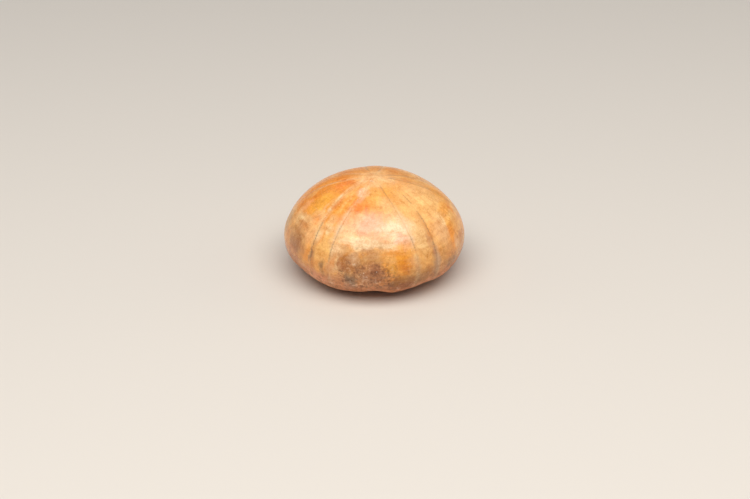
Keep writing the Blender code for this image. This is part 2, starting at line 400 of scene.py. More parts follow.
# marks along the pore lines: which ambulacrum, which of its sides (-1 left, 1 right), how
# strong, and from where to where, in millimetres from the apex
mark_fade = 1.2
line_marks = {
    "line_dark": (
        (0, -1, 0.30, 5.0, 14.0), (0, -1, 1.00, 15.0, 26.0), (0, -1, 0.35, 25.0, 30.0),
        (0, 1, 0.25, 5.0, 11.0), (0, 1, 0.15, 10.0, 15.0), (0, 1, 0.70, 14.5, 18.5),
        (0, 1, 1.00, 17.5, 24.0), (0, 1, 0.30, 23.0, 31.0),
        (1, -1, 0.70, 3.0, 11.5), (1, -1, 0.30, 11.0, 17.0), (1, -1, 0.75, 17.0, 21.5),
        (1, -1, 0.30, 21.0, 32.0),
        (1, 1, 1.00, 7.6, 11.6), (1, 1, 1.00, 12.4, 24.0), (1, 1, 0.50, 22.5, 27.5),
        (1, 1, 0.35, 26.0, 32.0),
        (2, -1, 0.75, 2.5, 32.0), (2, 1, 0.45, 2.5, 32.0),
        (3, -1, 0.70, 3.0, 32.0), (3, 1, 0.65, 3.0, 32.0),
        (4, -1, 0.60, 4.0, 32.0), (4, 1, 0.50, 6.0, 30.0),
    ),
    "line_pale": (
        (0, -1, 0.45, 2.0, 9.0), (0, -1, 0.90, 7.5, 14.0), (0, -1, 0.55, 13.5, 18.0),
        (0, -1, 0.25, 17.0, 30.0),
        (0, 1, 0.35, 3.0, 11.0), (0, 1, 0.15, 14.0, 22.0), (0, 1, 0.35, 23.5, 31.0),
        (1, -1, 0.25, 21.0, 31.0), (1, 1, 0.25, 22.0, 30.0), (3, -1, 0.40, 2.0, 16.0),
        (4, -1, 0.35, 2.0, 20.0), (4, 1, 0.45, 2.0, 24.0),
    ),
    "line_grey": (
        (0, -1, 0.30, 1.5, 9.0), (0, -1, 0.55, 8.0, 20.0),
        (0, 1, 0.30, 3.0, 10.5), (0, 1, 1.00, 10.0, 19.0),
        (1, -1, 0.60, 10.0, 21.5), (1, -1, 0.40, 21.0, 31.0), (1, 1, 0.45, 19.0, 30.0),
        (3, 1, 0.40, 4.0, 20.0),
    ),
    "line_brown": (
        (0, -1, 0.45, 19.5, 26.5), (0, -1, 0.80, 21.5, 25.5), (0, 1, 0.20, 23.0, 30.0),
        (1, -1, 0.20, 22.0, 32.0),
        (1, 1, 0.40, 12.6, 32.0), (1, 1, 0.50, 14.5, 22.5), (1, 1, 0.60, 17.0, 21.5),
        (2, -1, 0.45, 2.5, 32.0), (2, 1, 0.35, 2.5, 32.0), (3, 1, 0.35, 8.0, 26.0),
    ),
}
for name, marks in line_marks.items():
    strength = np.zeros_like(arc)
    for ambulacrum, side, amount, start, end in marks:
        along = smooth_step((arc - start) / mark_fade) * smooth_step((end - arc) / mark_fade)
        here = (nearest == ambulacrum) & (np.sign(from_middle) == side)
        strength = np.maximum(strength, amount * along * here)
    store(name, strength, [0.0], [0.0])
mouth_arc = arc_end + pole_radius
store("arc", arc, [0.0], [mouth_arc])
store("line_offset", line_offset, [0.0], [0.0])
store("line_fade", fade, [0.0], [0.0])
store("field_side", field_side, [0.0], [0.0])
store("unpolished", unpolished, [0.0], [1.0])
store("off_ring", off_ring, [1.0], [1.0])
# a place for patterns that run with the meridians: the compass point and the way down
meridian = np.stack((np.sin(turn), -np.cos(turn), arc), -1)
store("meridian", meridian, (0.0, 0.0, 0.0), (0.0, 0.0, mouth_arc), "FLOAT_VECTOR")
test_mesh.update()

# Fine relief, in Geometry Nodes because each kind repeats by a rule: pores along the
# lines, seams between plates, tubercles and worn pits low on the side. Sizes are in
# millimetres; pores, tubercles and pits are drawn coarser than real ones, so they show.
relief_tree = bpy.data.node_groups.new("test_surface", "GeometryNodeTree")
relief_tree.interface.new_socket("Geometry", in_out="INPUT", socket_type="NodeSocketGeometry")
relief_tree.interface.new_socket("Geometry", in_out="OUTPUT", socket_type="NodeSocketGeometry")
relief_sizes = {
    "Pore pitch": 0.60,
    "Pore half width": 0.20,
    "Pore depth": 0.03,
    "Plate height": 1.15,
    "Seam half width": 0.12,
    "Seam depth": 0.004,
    "Tubercle spacing": 1.0,
    "Tubercle radius": 0.24,
    "Tubercle height": 0.06,
    "Pit spacing": 0.8,
    "Pit radius": 0.26,
    "Pit depth": 0.10,
    "Wear spacing": 2.5,
    "Wear height": 0.03,
}
sockets = {}
for label, value in relief_sizes.items():
    socket = relief_tree.interface.new_socket(label, in_out="INPUT", socket_type="NodeSocketFloat")
    socket.default_value = value
    sockets[label] = socket.identifier

given = add_node(relief_tree, "NodeGroupInput").outputs
known = {}
for name in ("arc", "line_offset", "line_fade", "field_side", "unpolished", "off_ring"):
    known[name] = add_node(relief_tree, "GeometryNodeInputNamedAttribute", {
        "Name": name,
    }, data_type="FLOAT").outputs["Attribute"]
place = add_node(relief_tree, "ShaderNodeVectorMath", {
    0: add_node(relief_tree, "GeometryNodeInputPosition").outputs[0],
    "Scale": 1.0 / MM,
}, operation="SCALE").outputs[0]

# pores: where a pore line meets every pitch along the meridian
half_pitch = add_node(relief_tree, "ShaderNodeMath", {
    0: given["Pore pitch"], 1: 0.5,
}, operation="MULTIPLY").outputs[0]
beat = add_node(relief_tree, "ShaderNodeMath", {
    0: known["arc"], 1: half_pitch,
}, operation="PINGPONG").outputs[0]
along = add_node(relief_tree, "ShaderNodeMapRange", {
    "Value": beat, "From Max": given["Pore half width"], "To Min": 1.0, "To Max": 0.0,
}, interpolation_type="SMOOTHSTEP").outputs[0]
aside = add_node(relief_tree, "ShaderNodeMath", {
    0: known["line_offset"],
}, operation="ABSOLUTE").outputs[0]
across = add_node(relief_tree, "ShaderNodeMapRange", {
    "Value": aside, "From Max": given["Pore half width"], "To Min": 1.0, "To Max": 0.0,
}, interpolation_type="SMOOTHSTEP").outputs[0]
pore = add_node(relief_tree, "ShaderNodeMath", {0: along, 1: across}, operation="MULTIPLY").outputs[0]
pore = add_node(relief_tree, "ShaderNodeMath", {
    0: pore, 1: known["line_fade"],
}, operation="MULTIPLY").outputs[0]

# seams: level joints between plates, half a plate apart on the two sides of a field,
# which end a little short of its pore lines
seam_end, seam_full = 0.2, 0.9
half_plate = add_node(relief_tree, "ShaderNodeMath", {
    0: given["Plate height"], 1: 0.5,
}, operation="MULTIPLY").outputs[0]
right_side = add_node(relief_tree, "ShaderNodeMath", {
    0: known["field_side"], 1: 0.0,
}, operation="GREATER_THAN").outputs[0]
stepped = add_node(relief_tree, "ShaderNodeMath", {
    0: right_side, 1: half_plate, 2: known["arc"],
}, operation="MULTIPLY_ADD").outputs[0]
beat = add_node(relief_tree, "ShaderNodeMath", {
    0: stepped, 1: half_plate,
}, operation="PINGPONG").outputs[0]
level = add_node(relief_tree, "ShaderNodeMapRange", {
    "Value": beat, "From Max": given["Seam half width"], "To Min": 1.0, "To Max": 0.0,
}, interpolation_type="SMOOTHSTEP").outputs[0]
in_field = add_node(relief_tree, "ShaderNodeMapRange", {
    "Value": known["line_offset"], "From Min": seam_end, "From Max": seam_full,
}).outputs[0]
seam = add_node(relief_tree, "ShaderNodeMath", {0: level, 1: in_field}, operation="MULTIPLY").outputs[0]

# tubercles and pits: round dots, one to a cell, in two scatters over the unpolished
# stone, where the tubercles are spaced a little more evenly than the pits
scatters = {}
for label, randomness in (("Tubercle", 0.8), ("Pit", 1.0)):
    spacing, dot_radius = given[label + " spacing"], given[label + " radius"]
    often = add_node(relief_tree, "ShaderNodeMath", {0: 1.0, 1: spacing}, operation="DIVIDE").outputs[0]
    cells = add_node(relief_tree, "ShaderNodeTexVoronoi", {
        "Vector": place, "Scale": often, "Randomness": randomness,
    }, feature="F1").outputs["Distance"]
    apart = add_node(relief_tree, "ShaderNodeMath", {
        0: cells, 1: spacing,
    }, operation="MULTIPLY").outputs[0]
    dot = add_node(relief_tree, "ShaderNodeMapRange", {
        "Value": apart, "From Max": dot_radius, "To Min": 1.0, "To Max": 0.0,
    }, interpolation_type="SMOOTHSTEP").outputs[0]
    scatters[label] = add_node(relief_tree, "ShaderNodeMath", {
        0: dot, 1: known["unpolished"],
    }, operation="MULTIPLY").outputs[0]
tubercle, pit = scatters["Tubercle"], scatters["Pit"]

# wear: a slow waviness left by the polishing, and the other reliefs laid over it
often = add_node(relief_tree, "ShaderNodeMath", {
    0: 1.0, 1: given["Wear spacing"],
}, operation="DIVIDE").outputs[0]
wave = add_node(relief_tree, "ShaderNodeTexNoise", {
    "Vector": place, "Scale": often, "Detail": 2.0,
}).outputs[0]
wave = add_node(relief_tree, "ShaderNodeMath", {0: wave, 1: 0.5}, operation="SUBTRACT").outputs[0]
rise = add_node(relief_tree, "ShaderNodeMath", {
    0: wave, 1: given["Wear height"],
}, operation="MULTIPLY").outputs[0]
for shape, size, sign in ((pore, "Pore depth", -1.0), (seam, "Seam depth", -1.0),
                          (tubercle, "Tubercle height", 1.0), (pit, "Pit depth", -1.0)):
    signed = add_node(relief_tree, "ShaderNodeMath", {
        0: given[size], 1: sign,
    }, operation="MULTIPLY").outputs[0]
    rise = add_node(relief_tree, "ShaderNodeMath", {
        0: shape, 1: signed, 2: rise,
    }, operation="MULTIPLY_ADD").outputs[0]
rise = add_node(relief_tree, "ShaderNodeMath", {
    0: rise, 1: known["off_ring"],
}, operation="MULTIPLY").outputs[0]
rise = add_node(relief_tree, "ShaderNodeMath", {0: rise, 1: MM}, operation="MULTIPLY").outputs[0]
shift = add_node(relief_tree, "ShaderNodeVectorMath", {
    0: add_node(relief_tree, "GeometryNodeInputNormal").outputs[0], "Scale": rise,
}, operation="SCALE").outputs[0]
shape = given["Geometry"]
for name, value in (("pore", pore), ("seam", seam), ("tubercle", tubercle), ("pit", pit)):
    shape = add_node(relief_tree, "GeometryNodeStoreNamedAttribute", {
        "Geometry": shape, "Name": name, "Value": value,
    }, data_type="FLOAT", domain="POINT").outputs[0]
shape = add_node(relief_tree, "GeometryNodeSetPosition", {
    "Geometry": shape, "Offset": shift,
}).outputs[0]
shape = add_node(relief_tree, "GeometryNodeRealizeInstances", {"Geometry": shape}).outputs[0]
stone = bpy.data.materials.new("polished_calcite")
shape = add_node(relief_tree, "GeometryNodeSetMaterial", {
    "Geometry": shape, "Material": stone,
}).outputs[0]
add_node(relief_tree, "NodeGroupOutput", {"Geometry": shape})

relief_modifier = test.modifiers.new("test_surface", "NODES")
relief_modifier.node_group = relief_tree
for label, value in relief_sizes.items():
    relief_modifier[sockets[label]] = value
evaluated = test.evaluated_get(bpy.context.evaluated_depsgraph_get())
finished_mesh = bpy.data.meshes.new_from_object(evaluated)
test.modifiers.clear()
test.data = finished_mesh
bpy.data.meshes.remove(test_mesh)
finished_mesh.name = "fossil_test"

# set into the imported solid's box: centred over the origin, standing on the floor
points = np.empty(len(finished_mesh.vertices) * 3, np.float32)
finished_mesh.vertices.foreach_get("co", points)
points = points.reshape(-1, 3).astype(float)
low, high = points.min(0), points.max(0)
box_low, box_high = (np.array(corner) for corner in cad_box)
points += 0.5 * (box_low + box_high - low - high) * (1.0, 1.0, 0.0)
points[:, 2] -= low[2] - box_low[2]
points[:, :2] *= np.minimum(1.0, (box_high - box_low) / (high - low))[:2]
points[:, 2] = np.minimum(points[:, 2], box_high[2])
finished_mesh.vertices.foreach_set("co", points.astype(np.float32).ravel())
finished_mesh.shade_smooth()
finished_mesh.update()

# Calcite, weathered orange and cream by iron and ground to a polish: a slightly
# translucent stone with a wide soft shine, dull and pitted where the polish didn't reach.
# All its patterns are placed in millimetres.
stone.use_nodes = True
tree = stone.node_tree
surface = tree.nodes["Principled BSDF"]
surface.inputs["IOR"].default_value = 1.55
surface.inputs["Subsurface Weight"].default_value = 0.12
surface.inputs["Subsurface Radius"].default_value = (0.9, 0.55, 0.30)
surface.inputs["Subsurface Scale"].default_value = MM
place = add_node(tree, "ShaderNodeMapping", {
    "Vector": add_node(tree, "ShaderNodeTexCoord").outputs["Object"], "Scale": (1.0 / MM,) * 3,
}).outputs[0]
meridian = add_node(tree, "ShaderNodeAttribute", attribute_name="meridian").outputs["Vector"]
read = {}
for name in (*line_marks, "line_offset", "unpolished", "pore", "seam", "tubercle", "pit"):
    read[name] = add_node(tree, "ShaderNodeAttribute", attribute_name=name).outputs["Fac"]

# noises: name, size of a grain in millimetres, detail, roughness and swirl; then two that
# are stretched: streaks 1 mm wide that run 3 mm towards the apex, and level growth bands
# 1 mm high that run 7 mm round the test
noise = {}
for name, size, detail, rough, swirl in (
    ("drift", 3.1, 3.0, 0.5, 0.0), ("cloud", 6.0, 3.0, 0.5, 0.0), ("blotch", 1.8, 3.0, 0.5, 0.4),
    ("crumb", 0.6, 4.0, 0.6, 0.0), ("dust", 0.25, 2.0, 0.6, 0.0),
):
    noise[name] = add_node(tree, "ShaderNodeTexNoise", {
        "Vector": place, "Scale": 1.0 / size, "Detail": detail, "Roughness": rough, "Distortion": swirl,
    }).outputs
for name, scales in (("streak", (15.0, 15.0, 0.30)), ("level", (2.6, 2.6, 1.0))):
    stretched = add_node(tree, "ShaderNodeMapping", {"Vector": meridian, "Scale": scales}).outputs[0]
    noise[name] = add_node(tree, "ShaderNodeTexNoise", {
        "Vector": stretched, "Scale": 1.0, "Detail": 4.0,
    }).outputs

# stains and painted lights spread with uneven edges: their places are read through a slow warp,
# and the finer noises eat into their edges
farthest_drift = 1.8
drift = add_node(tree, "ShaderNodeVectorMath", {
    0: noise["drift"]["Color"], 1: (2.0 * farthest_drift,) * 3, 2: (-farthest_drift,) * 3,
}, operation="MULTIPLY_ADD").outputs[0]
warped = add_node(tree, "ShaderNodeMapping", {"Vector": place, "Location": drift}).outputs[0]
edge_noises = {"blotch": 0.60, "streak": 0.75, "crumb": 0.25}
ragged = -0.5 * sum(edge_noises.values())
for name, weight in edge_noises.items():
    ragged = add_node(tree, "ShaderNodeMath", {
        0: noise[name][0], 1: weight, 2: ragged,
    }, operation="MULTIPLY_ADD").outputs[0]


def ramp(value, start, end):
    """Rises smoothly from 0 to 1 as a value goes from start to end, whichever is higher."""
    return add_node(tree, "ShaderNodeMapRange", {
        "Value": value, "From Min": start, "From Max": end,
    }, interpolation_type="SMOOTHSTEP").outputs[0]


def stain_and_painted_light(color, below, amount, patch):
    """Lays a colour over another, a stain or a painted light or shade, where amount is how much and
    patch is the mask.
    """
    share = add_node(tree, "ShaderNodeMath", {0: patch, 1: amount}, operation="MULTIPLY").outputs[0]
    return add_node(tree, "ShaderNodeMix", {
        0: share, 6: below, 7: linear(color),
    }, data_type="RGBA").outputs[2]


# the stone under every stain: clouds of orange in a paler orange
color = stain_and_painted_light("#ea9a45", linear("#f0b065"), 1.0, ramp(noise["cloud"][0], 0.38, 0.62))

# under the rim it is pinkish brown: partly the stone's own colour, partly painted shade under the
# rim and a painted warm reflection from below, up to an edge 4 to 8 mm over the floor that the
# clouds and the finer noises break into patches
rim_stain_and_shade_top, rim_stain_and_shade_full = 7.6, 4.4
upward = add_node(tree, "ShaderNodeSeparateXYZ", {0: warped}).outputs[2]
patchy = add_node(tree, "ShaderNodeMath", {
    0: noise["cloud"][0], 1: 3.0, 2: -1.5,
}, operation="MULTIPLY_ADD").outputs[0]
patchy = add_node(tree, "ShaderNodeMath", {
    0: ragged, 1: 1.2, 2: patchy,
}, operation="MULTIPLY_ADD").outputs[0]
upward = add_node(tree, "ShaderNodeMath", {
    0: patchy, 1: 2.0, 2: upward,
}, operation="MULTIPLY_ADD").outputs[0]
# pinkish brown stone under the rim, with painted shade and painted warm reflected light in it
color = stain_and_painted_light("#d08458", color, 0.85, ramp(upward, rim_stain_and_shade_top, rim_stain_and_shade_full))

# stains, and a few painted lights, each over the ones before it: azimuth in degrees and height
# over the rim of its middle, half its width round, in and up, softness of the edge, colour and strength
stains_and_painted_light = (
    # crown, and the orange field on the left
    (0.0, 13.3, 4.0, 4.0, 1.5, 0.7, "#f5c68c", 0.8),
    (-96.0, 8.0, 3.0, 4.0, 3.6, 0.6, "#f39a34", 0.75),
    (-74.0, 10.6, 9.0, 8.0, 4.8, 0.6, "#f0922c", 0.90),
    (-77.0, 7.8, 1.5, 3.0, 1.1, 0.5, "#f8ae6e", 0.75),
    (-88.0, 9.6, 0.9, 3.0, 1.6, 0.5, "#f2b468", 0.6),
    (-70.0, 12.2, 1.6, 2.5, 0.5, 0.5, "#ee8226", 0.7),
    (-62.0, 9.6, 2.4, 5.0, 2.2, 0.6, "#f4b048", 0.8),
    # the left ambulacrum, and the orange and cream beside its pore lines
    (-38.0, 10.6, 2.4, 6.0, 3.0, 0.6, "#f0a448", 0.6),
    (-42.5, 11.4, 0.5, 8.0, 2.6, 0.7, "#f6c484", 0.35),
    (-35.0, 11.4, 0.4, 8.0, 2.6, 0.7, "#f6c484", 0.3),
    (-36.0, 5.0, 2.6, 3.0, 3.0, 0.6, "#efb468", 0.8),
    (-24.5, 2.4, 1.6, 3.0, 3.4, 0.5, "#f4c690", 0.9),
    (-26.5, 1.0, 0.6, 3.0, 2.6, 0.6, "#ea9a50", 0.65),
    (-38.5, 7.6, 1.3, 3.0, 1.5, 0.5, "#f6c184", 0.8),
    (-40.5, 5.4, 0.6, 3.0, 1.6, 0.6, "#ee9c4a", 0.65),
    (-53.5, 7.0, 0.9, 3.0, 1.1, 0.5, "#f09644", 0.85),
    (-56.0, 8.4, 0.9, 3.0, 0.8, 0.5, "#f8c07c", 0.7),
    (-51.5, 7.3, 0.6, 2.0, 0.6, 0.6, "#f0904a", 0.6),
    (-50.6, 11.6, 0.4, 2.0, 0.4, 0.6, "#ee8e40", 0.6),
    (-36.2, 7.0, 0.8, 2.0, 0.9, 0.6, "#f8d8a4", 0.6),
    (-43.0, 10.6, 0.45, 3.0, 1.6, 0.5, "#ee8c38", 0.7),
    # the front field next to the crown, with specks of white
    (-15.0, 10.9, 2.2, 3.0, 1.3, 0.5, "#f28a3c", 0.9),
    (-21.0, 12.2, 1.3, 2.0, 0.6, 0.5, "#f3c09a", 0.8),
    (-27.0, 12.1, 0.16, 0.5, 0.20, 0.6, "#fbe6c8", 0.6),
    (-22.0, 12.6, 0.14, 0.5, 0.16, 0.6, "#fbe6c8", 0.6),
    (-24.0, 11.5, 0.16, 0.5, 0.16, 0.6, "#fbe6c8", 0.5),
    (-4.0, 13.2, 0.30, 0.4, 0.22, 0.5, "#fbe6c8", 0.6),
    (2.0, 11.8, 2.2, 4.5, 1.4, 0.5, "#f2b05e", 0.85),
    # peach from the right ambulacrum to the right
    (38.0, 12.4, 2.4, 4.0, 0.9, 0.5, "#efa84a", 0.6),
    (60.0, 10.0, 8.0, 6.0, 4.0, 0.6, "#f8c07a", 0.85),
    (120.0, 11.6, 2.2, 2.0, 1.0, 0.6, "#f6b868", 0.55),
    (56.0, 5.2, 3.0, 3.0, 2.8, 0.6, "#eab47c", 0.75),
    # pink and cream on the shoulder of the front field
    (-4.0, 8.6, 4.2, 3.0, 2.1, 0.5, "#f2b08a", 0.9),
    (-16.5, 9.4, 1.6, 2.0, 0.7, 0.6, "#f4ae78", 0.6),
    (17.5, 8.0, 3.3, 3.5, 1.9, 0.6, "#f6d6ac", 0.9),
    (-23.0, 7.0, 2.2, 2.5, 1.8, 0.6, "#f2bc80", 0.85),
    (-19.0, 9.2, 1.9, 2.0, 1.3, 0.5, "#f2a462", 0.75),
    (-23.0, 9.5, 1.0, 2.0, 1.2, 0.6, "#f0a056", 0.5),
    (-42.5, 5.2, 0.7, 2.0, 1.4, 0.6, "#f8cc96", 0.65),
    (-50.0, 4.7, 1.8, 3.0, 2.2, 0.6, "#f3bd84", 0.5),
    (-51.0, 8.8, 0.55, 3.0, 2.3, 0.7, "#f9c88c", 0.65),
    (-28.5, 4.2, 1.1, 2.0, 1.8, 0.6, "#e4be92", 0.5),
    (14.0, 11.0, 1.6, 2.5, 1.2, 0.6, "#f8c48a", 0.6),
    # a cream band across the front, with pink and cream at its right end
    (2.0, 5.8, 8.0, 3.0, 0.8, 0.6, "#edcc9c", 0.9),
    (-5.0, 7.0, 2.6, 2.0, 0.4, 0.6, "#eaa878", 0.6),
    (20.0, 5.9, 2.1, 2.0, 0.9, 0.5, "#f2b08a", 0.8),
    (24.2, 5.4, 1.0, 2.0, 0.8, 0.6, "#f6c69e", 0.6),
    (20.5, 4.9, 1.6, 2.0, 0.5, 0.6, "#f8bc88", 0.6),
    (33.0, 5.5, 2.2, 3.0, 4.0, 0.6, "#f0c88e", 0.8),
    (34.0, 1.6, 2.2, 3.0, 2.2, 0.6, "#e2a052", 0.7),
    # orange and brown on the right field, and a painted rim light along its far edge
    (78.0, 7.2, 2.6, 3.0, 1.0, 0.5, "#fbae50", 0.8),
    (83.0, 6.3, 0.6, 3.0, 1.0, 0.5, "#f0943a", 0.8),
    # painted rim light: brighter, deeper orange where the right edge of the test turns away
    (95.0, 8.2, 2.6, 4.0, 2.2, 0.6, "#fcb454", 0.75),
    (66.0, 5.3, 1.2, 3.0, 1.4, 0.6, "#ffb452", 0.85),
    (60.0, 7.1, 1.0, 2.0, 0.9, 0.6, "#fccf92", 0.65),
    (62.3, 3.6, 1.6, 3.0, 1.7, 0.5, "#f0942f", 0.85),
    (74.0, 1.0, 3.0, 3.0, 2.0, 0.6, "#cc8440", 0.8),
    (58.0, -1.2, 2.7, 3.0, 1.5, 0.6, "#a26c3a", 0.85),
    (65.5, 1.8, 1.0, 2.0, 1.1, 0.5, "#f2bc84", 0.7),
    # the brown patch on the left, under a cream edge
    (-66.0, 6.6, 3.4, 3.5, 1.1, 0.6, "#eabb82", 0.7),
    (-74.0, 5.7, 1.5, 3.0, 0.9, 0.6, "#f3ba7a", 0.5),
    (-63.5, 2.7, 2.9, 4.0, 2.9, 0.5, "#ba8250", 0.85),
    (-54.5, 1.2, 1.2, 3.0, 1.5, 0.6, "#b87848", 0.5),
    (-61.0, 1.8, 1.4, 3.0, 1.8, 0.6, "#a2663e", 0.6),
    (-63.2, 5.3, 0.9, 2.0, 0.7, 0.6, "#c88a54", 0.6),
    (-69.0, 6.2, 1.0, 2.0, 0.7, 0.6, "#f2ca92", 0.6),
    (-65.0, -0.3, 2.0, 3.0, 1.2, 0.6, "#ce783a", 0.5),
    (-86.0, 3.9, 3.2, 4.0, 2.2, 0.6, "#c4965a", 0.75),
    # the brown unpolished patch low at the front, mottled down to slate
    (-15.0, 2.2, 2.2, 3.0, 2.2, 0.5, "#b27038", 0.85),
    (-19.3, 2.0, 1.25, 2.0, 2.0, 0.5, "#a8662e", 0.65),
    (-21.6, 1.2, 0.6, 2.0, 1.2, 0.6, "#b06a38", 0.5),
    (-16.5, 2.3, 0.7, 2.0, 1.2, 0.6, "#cc9460", 0.5),
    (-11.8, 3.2, 1.0, 2.0, 1.4, 0.6, "#d2aa84", 0.5),
    (-20.2, 4.3, 1.0, 2.0, 0.5, 0.6, "#d09a62", 0.65),
    (-8.9, 2.6, 0.6, 2.0, 1.2, 0.5, "#b27a4c", 0.6),
    (-7.6, 0.1, 1.2, 2.0, 1.1, 0.6, "#7c4626", 0.75),
    (-5.5, 5.1, 1.3, 2.0, 0.7, 0.5, "#cf9a68", 0.8),
    (-14.0, 5.6, 0.35, 1.0, 0.20, 0.6, "#a88a68", 0.6),
    (-1.0, 2.6, 2.9, 3.0, 2.3, 0.5, "#c48e54", 0.8),
    (-2.0, -0.6, 3.2, 3.0, 2.4, 0.5, "#b8784e", 0.85),
    (4.0, -3.7, 3.4, 3.0, 0.9, 0.6, "#d08c5c", 0.75),
    (-6.2, -0.4, 0.7, 2.0, 0.5, 0.5, "#8a4e2e", 0.5),
    (-4.0, -3.3, 1.1, 2.0, 0.7, 0.6, "#e0a474", 0.6),
    (-3.2, -1.8, 0.7, 2.0, 0.6, 0.6, "#d09a70", 0.5),
    (-17.7, -3.6, 1.0, 2.0, 0.6, 0.6, "#dca078", 0.5),
    (-0.7, 3.6, 1.4, 2.0, 0.9, 0.6, "#d8a878", 0.5),
    (-10.4, 1.0, 0.8, 2.0, 0.7, 0.6, "#c08a5c", 0.6),
    (-13.6, 3.9, 1.0, 2.0, 0.7, 0.6, "#d8ac80", 0.55),
    (1.5, 1.0, 0.9, 2.0, 0.8, 0.6, "#8f5434", 0.5),
    (0.5, -1.5, 0.9, 2.0, 0.7, 0.6, "#8c5634", 0.6),
    (12.5, -2.4, 1.1, 2.0, 0.7, 0.6, "#6e4426", 0.7),
    (-11.6, -3.1, 0.9, 2.0, 0.6, 0.6, "#8c5838", 0.5),
    (-15.6, -1.4, 1.4, 3.0, 1.6, 0.6, "#7c6e60", 0.7),
    # the ochre patch beside it, brown at its foot
    (17.0, 1.8, 2.8, 3.0, 2.5, 0.6, "#eea03a", 0.95),
    (10.0, 3.0, 1.0, 2.0, 1.4, 0.6, "#f0b870", 0.6),
    (19.5, 1.3, 1.3, 2.0, 1.9, 0.5, "#de8620", 0.75),
    (12.0, 0.9, 1.1, 2.0, 1.2, 0.5, "#d6983c", 0.5),
    (20.0, -1.8, 2.8, 3.0, 1.4, 0.6, "#a86a20", 0.85),
    (25.0, -0.2, 1.1, 2.0, 1.3, 0.6, "#c4803c", 0.65),
    (25.5, 2.1, 1.3, 2.0, 1.5, 0.6, "#dea06a", 0.6),
    (19.0, -3.4, 2.4, 3.0, 1.0, 0.6, "#985628", 0.7),
    (25.0, -3.2, 1.6, 2.0, 0.8, 0.6, "#98501a", 0.7),
    (30.5, -1.6, 2.8, 3.0, 1.6, 0.6, "#a87038", 0.75),
    # small stains on and between the pore lines, pinkish brown under the left rim, and painted warm
    # bounce light on the lower left edge
    (-33.9, 0.3, 0.65, 2.0, 1.3, 0.9, "#8c6440", 0.75),
    (-43.6, 1.8, 0.35, 2.0, 1.5, 0.6, "#8e5830", 0.7),
    (42.0, 0.0, 1.3, 2.5, 2.6, 0.6, "#ac835e", 0.7),
    (43.0, 1.4, 0.7, 2.0, 2.6, 0.7, "#c28c74", 0.5),
    (24.6, -1.3, 0.9, 2.0, 0.8, 0.6, "#a8682c", 0.6),
    (49.5, 1.0, 1.1, 2.0, 1.7, 0.6, "#c68846", 0.7),
    (56.0, 1.4, 1.4, 2.0, 1.2, 0.6, "#c88444", 0.5),
    (40.0, 4.7, 0.5, 2.0, 0.8, 0.6, "#c4885c", 0.5),
    (27.6, 2.7, 0.8, 2.0, 0.9, 0.6, "#d89c60", 0.5),
    (-60.0, -3.0, 7.0, 6.0, 2.6, 0.6, "#c47c4c", 0.7),
    # painted warm light reflected up onto the lower left edge
    (-41.0, -3.2, 3.4, 3.0, 1.6, 0.6, "#f0a274", 0.85),
    # the back
    (145.0, 4.0, 6.0, 6.0, 4.0, 0.6, "#eba04c", 0.8),
    (170.0, 1.0, 4.0, 4.0, 4.0, 0.5, "#b07a50", 0.8),
    (205.0, 7.0, 4.5, 5.0, 3.0, 0.6, "#f3c68a", 0.8),
    (232.0, 1.0, 3.5, 4.0, 3.0, 0.5, "#e39a3c", 0.85),
    (120.0, 0.0, 3.0, 4.0, 2.6, 0.5, "#96704e", 0.7),
)
# a ball gradient falls from 1 in the middle to 0 this many half widths out, and the
# stain's outline is where the gradient and the noises together are one half width out
gradient_reach = 3.0
outline = 1.0 - gradient_reach
for azimuth_deg, level, wide, deep, tall, soft, tone, amount in stains_and_painted_light:
    turned = math.radians(azimuth_deg)
    out = dome_radius(level)
    middle = (out * math.sin(turned), -out * math.cos(turned), level - ring_height)
    local = add_node(tree, "ShaderNodeMapping", {
        "Vector": warped, "Location": middle, "Rotation": (0.0, 0.0, turned),
        "Scale": (gradient_reach * wide, gradient_reach * deep, gradient_reach * tall),
    }, vector_type="TEXTURE").outputs[0]
    near = add_node(tree, "ShaderNodeTexGradient", {
        "Vector": local,
    }, gradient_type="SPHERICAL").outputs["Fac"]
    edge = add_node(tree, "ShaderNodeMath", {
        0: near, 1: -gradient_reach, 2: ragged,
    }, operation="MULTIPLY_ADD").outputs[0]
    color = stain_and_painted_light(tone, color, amount, ramp(edge, outline + soft, outline - soft))

# where the polish didn't reach, the stone is mottled brown and pale
dull = add_node(tree, "ShaderNodeMath", {
    0: patchy, 1: -0.3, 2: read["unpolished"],
}, operation="MULTIPLY_ADD").outputs[0]
dull = ramp(dull, 0.05, 0.75)
grit = -0.5
for name, weight in (("blotch", 0.40), ("crumb", 0.36), ("dust", 0.24)):
    grit = add_node(tree, "ShaderNodeMath", {
        0: noise[name][0], 1: weight, 2: grit,
    }, operation="MULTIPLY_ADD").outputs[0]
for tone, start, end, amount in (("#6c4c34", 0.01, -0.11, 0.52), ("#dcb898", 0.02, 0.13, 0.55)):
    spots = add_node(tree, "ShaderNodeMath", {
        0: ramp(grit, start, end), 1: dull,
    }, operation="MULTIPLY").outputs[0]
    color = stain_and_painted_light(tone, color, amount, spots)

